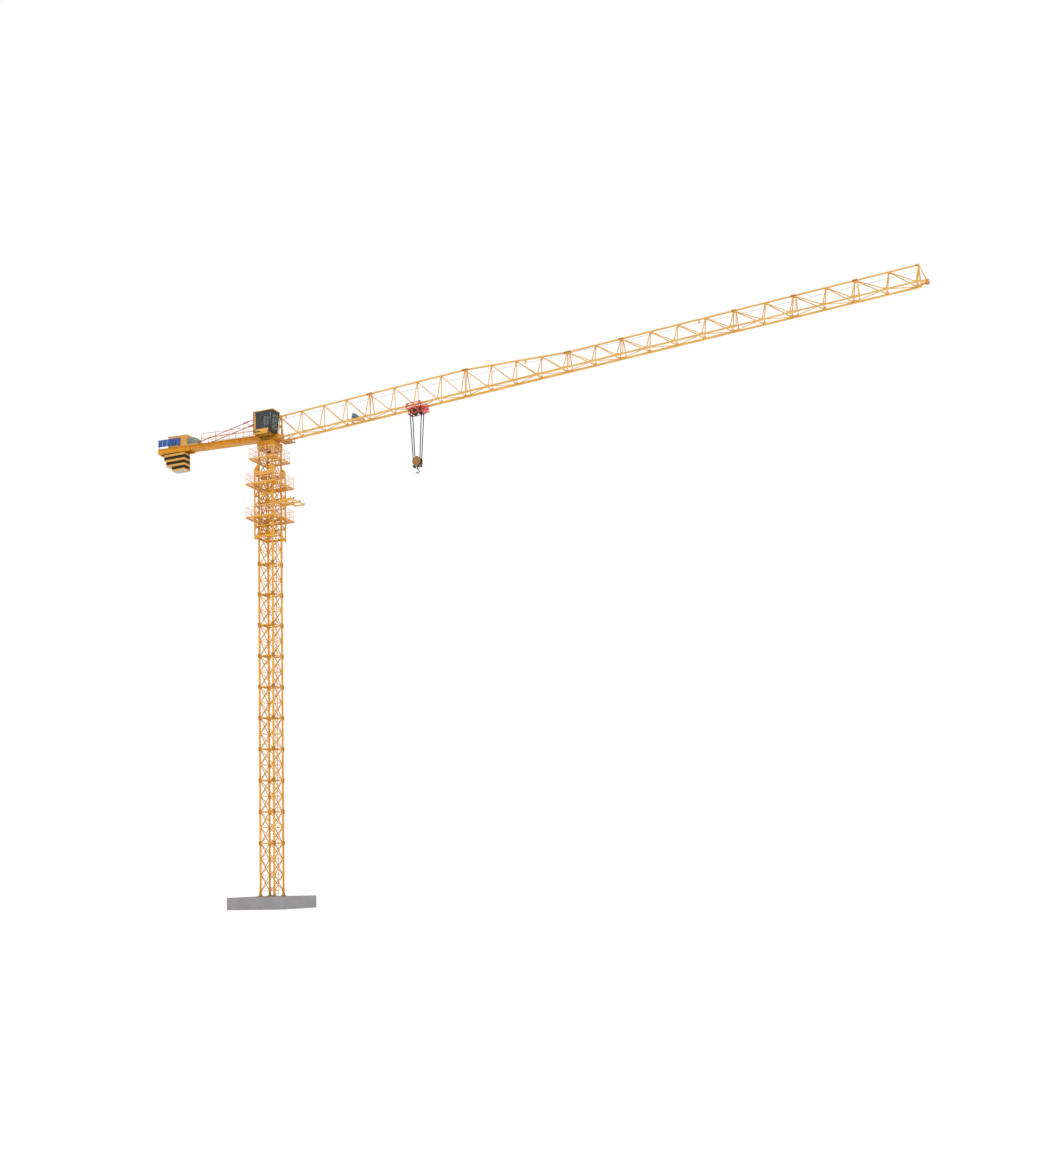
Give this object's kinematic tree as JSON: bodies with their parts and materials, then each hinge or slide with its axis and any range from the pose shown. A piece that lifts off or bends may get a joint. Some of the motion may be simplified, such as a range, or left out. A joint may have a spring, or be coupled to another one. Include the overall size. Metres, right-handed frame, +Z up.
{
  "type": "tower crane, 1:2 scale model",
  "caption": "Flat-top tower crane at half scale: latticed mast on a concrete foundation, climbing cage, slewing top with cab, jib with trolley and hook, counter-jib with weights.",
  "frame": {"origin": "centre of the foundation's underside", "axes": "+Z up along the mast axis, +X along the jib at rest, +Y to the jib's left, so the cab is on the -Y side"},
  "size_m": [37.468, 3, 25.2566],
  "materials": {
    "concrete": "cast concrete, matt",
    "mast_orange": "orange-yellow paint, semi-gloss",
    "jib_orange": "orange paint, semi-gloss",
    "olive_steel": "yellow-olive primer, matt",
    "grating": "painted grating",
    "cab_orange": "orange paint, gloss",
    "cab_glazing": "tinted glass",
    "red_paint": "red paint, semi-gloss",
    "machine_grey": "grey-green paint, satin",
    "sign_blue": "blue painted sheet",
    "weight_bands": "concrete painted in yellow and black bands",
    "rope_steel": "greased wire rope",
    "sheave_steel": "dark cast steel",
    "block_paint": "worn yellow-brown paint",
    "ram_paint": "brown-red paint"
  },
  "bodies": {
    "base": {"foundation": "concrete", "anchor_feet": "olive_steel", "mast_legs": "mast_orange", "mast_lattice_front": "mast_orange", "mast_lattice_rear": "mast_orange", "mast_lattice_left": "mast_orange", "mast_lattice_right": "mast_orange", "rest_landings": "grating", "mast_ladder": "mast_orange", "cage_side_left": "mast_orange", "cage_side_right": "mast_orange", "cage_side_rear": "mast_orange", "cage_head": "mast_orange", "walkway_decks": "grating", "walkway_rails": "mast_orange", "feeding_beam": "jib_orange", "climbing_ram": "ram_paint", "slewing_support": "mast_orange", "slewing_ring": "sheave_steel"},
    "upperworks": {"turntable": "jib_orange", "tower_head": "jib_orange", "jib_lower_chords": "jib_orange", "jib_top_chord": "jib_orange", "jib_side_left": "jib_orange", "jib_side_right": "jib_orange", "jib_floor_lattice": "jib_orange", "jib_tip_head": "jib_orange", "trolley_winch": "machine_grey", "cab_shell": "cab_orange", "cab_glass": "cab_glazing", "cab_deck": "grating", "counter_jib_frame": "jib_orange", "counter_jib_deck": "grating", "counter_jib_rails": "jib_orange", "tie_bars": "red_paint", "hoist_winch": "machine_grey", "switch_cabinet": "cab_orange", "sign_panels": "sign_blue", "hoist_rope": "rope_steel", "counterweights": "weight_bands", "service_platform": "grating"},
    "trolley": {"trolley_frame": "red_paint", "trolley_rollers": "sheave_steel", "trolley_sheaves": "sheave_steel", "trolley_basket": "red_paint", "rope_falls": "rope_steel"},
    "hook_assembly": {"hook_block": "block_paint", "hook": "sheave_steel"}
  },
  "joints": [
    {"name": "slew", "type": "hinge", "parent": "base", "child": "upperworks", "pos_m": [0, 0, 22.7], "axis": [0, 0, 1], "continuous": true},
    {"name": "trolley_travel", "type": "slide", "parent": "upperworks", "child": "trolley", "axis": [0.9984, 0, 0.0569], "range_m": [-5.5, 20.4]},
    {"name": "hoist", "type": "slide", "parent": "trolley", "child": "hook_assembly", "axis": [0, 0, 1], "range_m": [-19.2, 1.5], "deforming": ["rope_falls"]}
  ]
}
